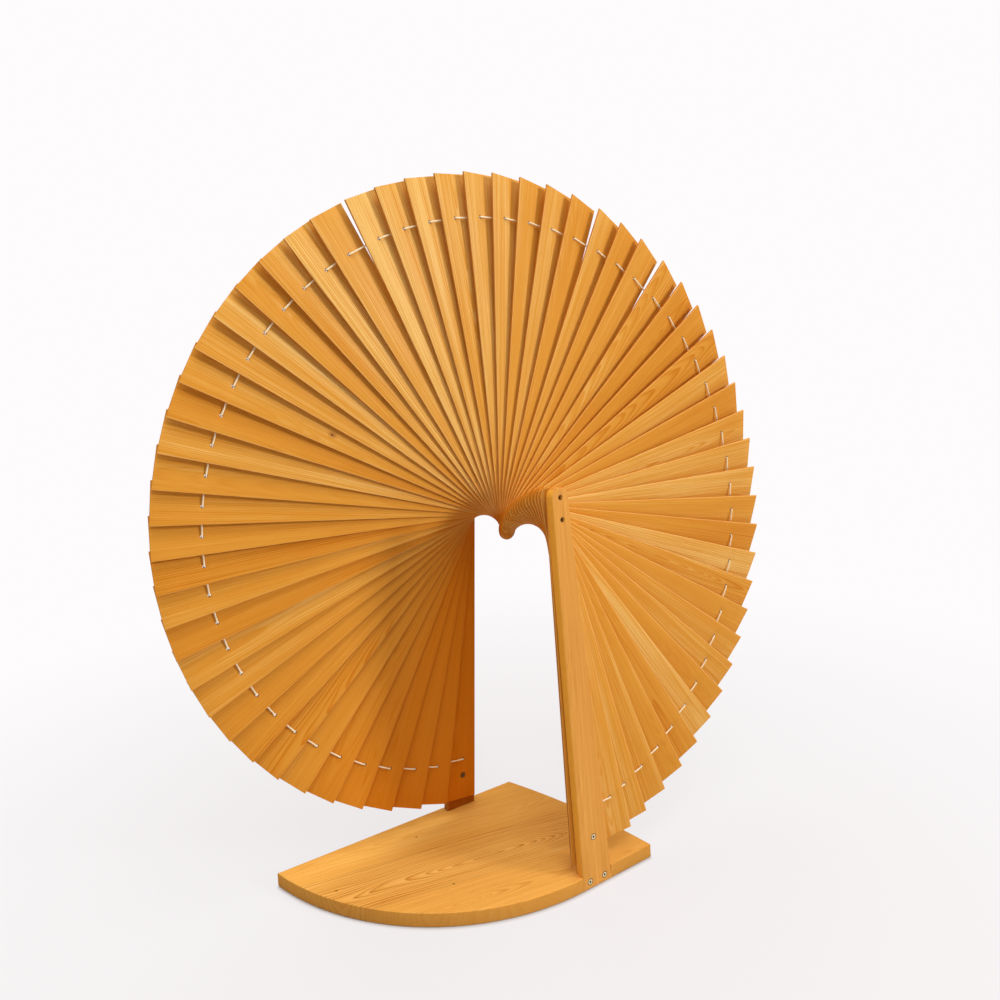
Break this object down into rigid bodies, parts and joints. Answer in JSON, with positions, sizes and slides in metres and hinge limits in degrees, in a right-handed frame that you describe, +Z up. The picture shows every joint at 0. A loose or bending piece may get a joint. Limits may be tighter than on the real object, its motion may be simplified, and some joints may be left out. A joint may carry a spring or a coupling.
{
  "type": "fan-shaped folding screen",
  "caption": "Free-standing room divider: tapered wooden slats fan almost full circle on one rod between two posts, laced by a cord near the rim, on a bowed wooden base",
  "frame": {"origin": "on the floor straight under the pivot rod, at the middle of the depth", "axes": "+Z up, +X to the viewer's right across the fan, +Y from the front post to the rear post along the pivot rod"},
  "size_m": [1.3919, 0.367, 1.4462],
  "materials": {
    "slat_wood": "clear lacquered pine, straight grain along the slat, tone differs from slat to slat",
    "post_wood": "clear lacquered pine board, grain along the post",
    "base_wood": "clear lacquered panel of edge-glued pine boards, grain along the back edge",
    "rod_steel": "plain drawn steel rod, darkened",
    "cord": "off-white braided cotton cord",
    "screw_steel": "zinc-plated countersunk wood screws"
  },
  "bodies": {
    "frame": {"base_plate": "base_wood", "rear_post": "post_wood", "front_post": "post_wood", "rear_end_slat": "slat_wood", "front_end_slat": "slat_wood", "pivot_rod": "rod_steel", "rim_cord": "cord", "base_screws": "screw_steel", "slat_screws": "screw_steel"},
    "slat_02_body": {"slat_02": "slat_wood"},
    "slat_03_body": {"slat_03": "slat_wood"},
    "slats_04_05_body": {"slats_04_05": "slat_wood"},
    "slat_06_body": {"slat_06": "slat_wood"},
    "slat_07_body": {"slat_07": "slat_wood"},
    "slat_08_body": {"slat_08": "slat_wood"},
    "slat_09_body": {"slat_09": "slat_wood"},
    "slats_10_11_body": {"slats_10_11": "slat_wood"},
    "slat_12_body": {"slat_12": "slat_wood"},
    "slat_13_body": {"slat_13": "slat_wood"},
    "slat_14_body": {"slat_14": "slat_wood"},
    "slat_15_body": {"slat_15": "slat_wood"},
    "slats_16_17_body": {"slats_16_17": "slat_wood"},
    "slat_18_body": {"slat_18": "slat_wood"},
    "slat_19_body": {"slat_19": "slat_wood"},
    "slat_20_body": {"slat_20": "slat_wood"},
    "slat_21_body": {"slat_21": "slat_wood"},
    "slats_22_23_body": {"slats_22_23": "slat_wood"},
    "slat_24_body": {"slat_24": "slat_wood"},
    "slat_25_body": {"slat_25": "slat_wood"},
    "slat_26_body": {"slat_26": "slat_wood"},
    "slat_27_body": {"slat_27": "slat_wood"},
    "slats_28_29_body": {"slats_28_29": "slat_wood"},
    "slat_30_body": {"slat_30": "slat_wood"},
    "slat_31_body": {"slat_31": "slat_wood"},
    "slat_32_body": {"slat_32": "slat_wood"},
    "slat_33_body": {"slat_33": "slat_wood"},
    "slats_34_35_body": {"slats_34_35": "slat_wood"},
    "slat_36_body": {"slat_36": "slat_wood"},
    "slat_37_body": {"slat_37": "slat_wood"},
    "slat_38_body": {"slat_38": "slat_wood"},
    "slat_39_body": {"slat_39": "slat_wood"},
    "slats_40_41_body": {"slats_40_41": "slat_wood"},
    "slat_42_body": {"slat_42": "slat_wood"},
    "slat_43_body": {"slat_43": "slat_wood"},
    "slat_44_body": {"slat_44": "slat_wood"},
    "slat_45_body": {"slat_45": "slat_wood"},
    "slats_46_47_body": {"slats_46_47": "slat_wood"},
    "slat_48_body": {"slat_48": "slat_wood"},
    "slat_49_body": {"slat_49": "slat_wood"},
    "slat_50_body": {"slat_50": "slat_wood"},
    "slat_51_body": {"slat_51": "slat_wood"},
    "slats_52_53_body": {"slats_52_53": "slat_wood"},
    "slat_54_body": {"slat_54": "slat_wood"},
    "slat_55_body": {"slat_55": "slat_wood"},
    "slat_56_body": {"slat_56": "slat_wood"},
    "slat_57_body": {"slat_57": "slat_wood"},
    "slats_58_59_body": {"slats_58_59": "slat_wood"},
    "slat_60_body": {"slat_60": "slat_wood"},
    "slat_61_body": {"slat_61": "slat_wood"},
    "slat_62_body": {"slat_62": "slat_wood"}
  },
  "joints": [
    {"name": "swing_slat_02", "type": "hinge", "parent": "frame", "child": "slat_02_body", "pos_m": [0, 0, 0.75], "axis": [0, -1, 0], "range_deg": [0, 7.27]},
    {"name": "swing_slat_03", "type": "hinge", "parent": "frame", "child": "slat_03_body", "pos_m": [0, 0, 0.75], "axis": [0, -1, 0], "range_deg": [0, 12.8]},
    {"name": "swing_slats_04_05", "type": "hinge", "parent": "frame", "child": "slats_04_05_body", "pos_m": [0, 0, 0.75], "axis": [0, -1, 0], "range_deg": [0, 18.87]},
    {"name": "swing_slat_06", "type": "hinge", "parent": "frame", "child": "slat_06_body", "pos_m": [0, 0, 0.75], "axis": [0, -1, 0], "range_deg": [0, 24.74]},
    {"name": "swing_slat_07", "type": "hinge", "parent": "frame", "child": "slat_07_body", "pos_m": [0, 0, 0.75], "axis": [0, -1, 0], "range_deg": [0, 30.49]},
    {"name": "swing_slat_08", "type": "hinge", "parent": "frame", "child": "slat_08_body", "pos_m": [0, 0, 0.75], "axis": [0, -1, 0], "range_deg": [0, 36.1]},
    {"name": "swing_slat_09", "type": "hinge", "parent": "frame", "child": "slat_09_body", "pos_m": [0, 0, 0.75], "axis": [0, -1, 0], "range_deg": [0, 41.57]},
    {"name": "swing_slats_10_11", "type": "hinge", "parent": "frame", "child": "slats_10_11_body", "pos_m": [0, 0, 0.75], "axis": [0, -1, 0], "range_deg": [0, 46.91]},
    {"name": "swing_slat_12", "type": "hinge", "parent": "frame", "child": "slat_12_body", "pos_m": [0, 0, 0.75], "axis": [0, -1, 0], "range_deg": [0, 52.01]},
    {"name": "swing_slat_13", "type": "hinge", "parent": "frame", "child": "slat_13_body", "pos_m": [0, 0, 0.75], "axis": [0, -1, 0], "range_deg": [0, 57.03]},
    {"name": "swing_slat_14", "type": "hinge", "parent": "frame", "child": "slat_14_body", "pos_m": [0, 0, 0.75], "axis": [0, -1, 0], "range_deg": [0, 61.97]},
    {"name": "swing_slat_15", "type": "hinge", "parent": "frame", "child": "slat_15_body", "pos_m": [0, 0, 0.75], "axis": [0, -1, 0], "range_deg": [0, 66.87]},
    {"name": "swing_slats_16_17", "type": "hinge", "parent": "frame", "child": "slats_16_17_body", "pos_m": [0, 0, 0.75], "axis": [0, -1, 0], "range_deg": [0, 71.73]},
    {"name": "swing_slat_18", "type": "hinge", "parent": "frame", "child": "slat_18_body", "pos_m": [0, 0, 0.75], "axis": [0, -1, 0], "range_deg": [0, 76.59]},
    {"name": "swing_slat_19", "type": "hinge", "parent": "frame", "child": "slat_19_body", "pos_m": [0, 0, 0.75], "axis": [0, -1, 0], "range_deg": [0, 81.46]},
    {"name": "swing_slat_20", "type": "hinge", "parent": "frame", "child": "slat_20_body", "pos_m": [0, 0, 0.75], "axis": [0, -1, 0], "range_deg": [0, 86.35]},
    {"name": "swing_slat_21", "type": "hinge", "parent": "frame", "child": "slat_21_body", "pos_m": [0, 0, 0.75], "axis": [0, -1, 0], "range_deg": [0, 91.26]},
    {"name": "swing_slats_22_23", "type": "hinge", "parent": "frame", "child": "slats_22_23_body", "pos_m": [0, 0, 0.75], "axis": [0, -1, 0], "range_deg": [0, 96.18]},
    {"name": "swing_slat_24", "type": "hinge", "parent": "frame", "child": "slat_24_body", "pos_m": [0, 0, 0.75], "axis": [0, -1, 0], "range_deg": [0, 101.1]},
    {"name": "swing_slat_25", "type": "hinge", "parent": "frame", "child": "slat_25_body", "pos_m": [0, 0, 0.75], "axis": [0, -1, 0], "range_deg": [0, 105.98]},
    {"name": "swing_slat_26", "type": "hinge", "parent": "frame", "child": "slat_26_body", "pos_m": [0, 0, 0.75], "axis": [0, -1, 0], "range_deg": [0, 110.82]},
    {"name": "swing_slat_27", "type": "hinge", "parent": "frame", "child": "slat_27_body", "pos_m": [0, 0, 0.75], "axis": [0, -1, 0], "range_deg": [0, 115.58]},
    {"name": "swing_slats_28_29", "type": "hinge", "parent": "frame", "child": "slats_28_29_body", "pos_m": [0, 0, 0.75], "axis": [0, -1, 0], "range_deg": [0, 121.8]},
    {"name": "swing_slat_30", "type": "hinge", "parent": "frame", "child": "slat_30_body", "pos_m": [0, 0, 0.75], "axis": [0, -1, 0], "range_deg": [0, 126.87]},
    {"name": "swing_slat_31", "type": "hinge", "parent": "frame", "child": "slat_31_body", "pos_m": [0, 0, 0.75], "axis": [0, -1, 0], "range_deg": [0, 131.95]},
    {"name": "swing_slat_32", "type": "hinge", "parent": "frame", "child": "slat_32_body", "pos_m": [0, 0, 0.75], "axis": [0, -1, 0], "range_deg": [0, 137.05]},
    {"name": "swing_slat_33", "type": "hinge", "parent": "frame", "child": "slat_33_body", "pos_m": [0, 0, 0.75], "axis": [0, -1, 0], "range_deg": [0, 142.17]},
    {"name": "swing_slats_34_35", "type": "hinge", "parent": "frame", "child": "slats_34_35_body", "pos_m": [0, 0, 0.75], "axis": [0, -1, 0], "range_deg": [0, 147.32]},
    {"name": "swing_slat_36", "type": "hinge", "parent": "frame", "child": "slat_36_body", "pos_m": [0, 0, 0.75], "axis": [0, -1, 0], "range_deg": [0, 152.54]},
    {"name": "swing_slat_37", "type": "hinge", "parent": "frame", "child": "slat_37_body", "pos_m": [0, 0, 0.75], "axis": [0, -1, 0], "range_deg": [0, 158.49]},
    {"name": "swing_slat_38", "type": "hinge", "parent": "frame", "child": "slat_38_body", "pos_m": [0, 0, 0.75], "axis": [0, -1, 0], "range_deg": [0, 163.5]},
    {"name": "swing_slat_39", "type": "hinge", "parent": "frame", "child": "slat_39_body", "pos_m": [0, 0, 0.75], "axis": [0, -1, 0], "range_deg": [0, 168.57]},
    {"name": "swing_slats_40_41", "type": "hinge", "parent": "frame", "child": "slats_40_41_body", "pos_m": [0, 0, 0.75], "axis": [0, -1, 0], "range_deg": [0, 174.75]},
    {"name": "swing_slat_42", "type": "hinge", "parent": "frame", "child": "slat_42_body", "pos_m": [0, 0, 0.75], "axis": [0, -1, 0], "range_deg": [0, 180.4]},
    {"name": "swing_slat_43", "type": "hinge", "parent": "frame", "child": "slat_43_body", "pos_m": [0, 0, 0.75], "axis": [0, -1, 0], "range_deg": [0, 186.1]},
    {"name": "swing_slat_44", "type": "hinge", "parent": "frame", "child": "slat_44_body", "pos_m": [0, 0, 0.75], "axis": [0, -1, 0], "range_deg": [0, 191.83]},
    {"name": "swing_slat_45", "type": "hinge", "parent": "frame", "child": "slat_45_body", "pos_m": [0, 0, 0.75], "axis": [0, -1, 0], "range_deg": [0, 197.57]},
    {"name": "swing_slats_46_47", "type": "hinge", "parent": "frame", "child": "slats_46_47_body", "pos_m": [0, 0, 0.75], "axis": [0, -1, 0], "range_deg": [0, 203.31]},
    {"name": "swing_slat_48", "type": "hinge", "parent": "frame", "child": "slat_48_body", "pos_m": [0, 0, 0.75], "axis": [0, -1, 0], "range_deg": [0, 209.02]},
    {"name": "swing_slat_49", "type": "hinge", "parent": "frame", "child": "slat_49_body", "pos_m": [0, 0, 0.75], "axis": [0, -1, 0], "range_deg": [0, 214.7]},
    {"name": "swing_slat_50", "type": "hinge", "parent": "frame", "child": "slat_50_body", "pos_m": [0, 0, 0.75], "axis": [0, -1, 0], "range_deg": [0, 220.33]},
    {"name": "swing_slat_51", "type": "hinge", "parent": "frame", "child": "slat_51_body", "pos_m": [0, 0, 0.75], "axis": [0, -1, 0], "range_deg": [0, 225.93]},
    {"name": "swing_slats_52_53", "type": "hinge", "parent": "frame", "child": "slats_52_53_body", "pos_m": [0, 0, 0.75], "axis": [0, -1, 0], "range_deg": [0, 231.48]},
    {"name": "swing_slat_54", "type": "hinge", "parent": "frame", "child": "slat_54_body", "pos_m": [0, 0, 0.75], "axis": [0, -1, 0], "range_deg": [0, 236.95]},
    {"name": "swing_slat_55", "type": "hinge", "parent": "frame", "child": "slat_55_body", "pos_m": [0, 0, 0.75], "axis": [0, -1, 0], "range_deg": [0, 242.38]},
    {"name": "swing_slat_56", "type": "hinge", "parent": "frame", "child": "slat_56_body", "pos_m": [0, 0, 0.75], "axis": [0, -1, 0], "range_deg": [0, 247.79]},
    {"name": "swing_slat_57", "type": "hinge", "parent": "frame", "child": "slat_57_body", "pos_m": [0, 0, 0.75], "axis": [0, -1, 0], "range_deg": [0, 253.17]},
    {"name": "swing_slats_58_59", "type": "hinge", "parent": "frame", "child": "slats_58_59_body", "pos_m": [0, 0, 0.75], "axis": [0, -1, 0], "range_deg": [0, 258.53]},
    {"name": "swing_slat_60", "type": "hinge", "parent": "frame", "child": "slat_60_body", "pos_m": [0, 0, 0.75], "axis": [0, -1, 0], "range_deg": [0, 263.88]},
    {"name": "swing_slat_61", "type": "hinge", "parent": "frame", "child": "slat_61_body", "pos_m": [0, 0, 0.75], "axis": [0, -1, 0], "range_deg": [0, 269.21]},
    {"name": "fold", "type": "hinge", "parent": "frame", "child": "slat_62_body", "pos_m": [0, 0, 0.75], "axis": [0, -1, 0], "range_deg": [0, 272.8], "deforming": ["rim_cord"]}
  ],
  "couplings": [
    {"joint": "swing_slat_02", "follows": "fold", "ratio": 0.0248},
    {"joint": "swing_slat_03", "follows": "fold", "ratio": 0.045085},
    {"joint": "swing_slats_04_05", "follows": "fold", "ratio": 0.067342},
    {"joint": "swing_slat_06", "follows": "fold", "ratio": 0.088866},
    {"joint": "swing_slat_07", "follows": "fold", "ratio": 0.10993},
    {"joint": "swing_slat_08", "follows": "fold", "ratio": 0.13049},
    {"joint": "swing_slat_09", "follows": "fold", "ratio": 0.15055},
    {"joint": "swing_slats_10_11", "follows": "fold", "ratio": 0.17011},
    {"joint": "swing_slat_12", "follows": "fold", "ratio": 0.18882},
    {"joint": "swing_slat_13", "follows": "fold", "ratio": 0.20721},
    {"joint": "swing_slat_14", "follows": "fold", "ratio": 0.22534},
    {"joint": "swing_slat_15", "follows": "fold", "ratio": 0.24328},
    {"joint": "swing_slats_16_17", "follows": "fold", "ratio": 0.26112},
    {"joint": "swing_slat_18", "follows": "fold", "ratio": 0.27893},
    {"joint": "swing_slat_19", "follows": "fold", "ratio": 0.29679},
    {"joint": "swing_slat_20", "follows": "fold", "ratio": 0.31471},
    {"joint": "swing_slat_21", "follows": "fold", "ratio": 0.3327},
    {"joint": "swing_slats_22_23", "follows": "fold", "ratio": 0.35074},
    {"joint": "swing_slat_24", "follows": "fold", "ratio": 0.36876},
    {"joint": "swing_slat_25", "follows": "fold", "ratio": 0.38667},
    {"joint": "swing_slat_26", "follows": "fold", "ratio": 0.4044},
    {"joint": "swing_slat_27", "follows": "fold", "ratio": 0.42183},
    {"joint": "swing_slats_28_29", "follows": "fold", "ratio": 0.44464},
    {"joint": "swing_slat_30", "follows": "fold", "ratio": 0.46323},
    {"joint": "swing_slat_31", "follows": "fold", "ratio": 0.48186},
    {"joint": "swing_slat_32", "follows": "fold", "ratio": 0.50055},
    {"joint": "swing_slat_33", "follows": "fold", "ratio": 0.51933},
    {"joint": "swing_slats_34_35", "follows": "fold", "ratio": 0.5382},
    {"joint": "swing_slat_36", "follows": "fold", "ratio": 0.55731},
    {"joint": "swing_slat_37", "follows": "fold", "ratio": 0.57913},
    {"joint": "swing_slat_38", "follows": "fold", "ratio": 0.59751},
    {"joint": "swing_slat_39", "follows": "fold", "ratio": 0.61608},
    {"joint": "swing_slats_40_41", "follows": "fold", "ratio": 0.63875},
    {"joint": "swing_slat_42", "follows": "fold", "ratio": 0.65947},
    {"joint": "swing_slat_43", "follows": "fold", "ratio": 0.68035},
    {"joint": "swing_slat_44", "follows": "fold", "ratio": 0.70134},
    {"joint": "swing_slat_45", "follows": "fold", "ratio": 0.72239},
    {"joint": "swing_slats_46_47", "follows": "fold", "ratio": 0.74344},
    {"joint": "swing_slat_48", "follows": "fold", "ratio": 0.76437},
    {"joint": "swing_slat_49", "follows": "fold", "ratio": 0.78517},
    {"joint": "swing_slat_50", "follows": "fold", "ratio": 0.80584},
    {"joint": "swing_slat_51", "follows": "fold", "ratio": 0.82634},
    {"joint": "swing_slats_52_53", "follows": "fold", "ratio": 0.84669},
    {"joint": "swing_slat_54", "follows": "fold", "ratio": 0.86674},
    {"joint": "swing_slat_55", "follows": "fold", "ratio": 0.88666},
    {"joint": "swing_slat_56", "follows": "fold", "ratio": 0.90647},
    {"joint": "swing_slat_57", "follows": "fold", "ratio": 0.9262},
    {"joint": "swing_slats_58_59", "follows": "fold", "ratio": 0.94587},
    {"joint": "swing_slat_60", "follows": "fold", "ratio": 0.96545},
    {"joint": "swing_slat_61", "follows": "fold", "ratio": 0.98502}
  ]
}
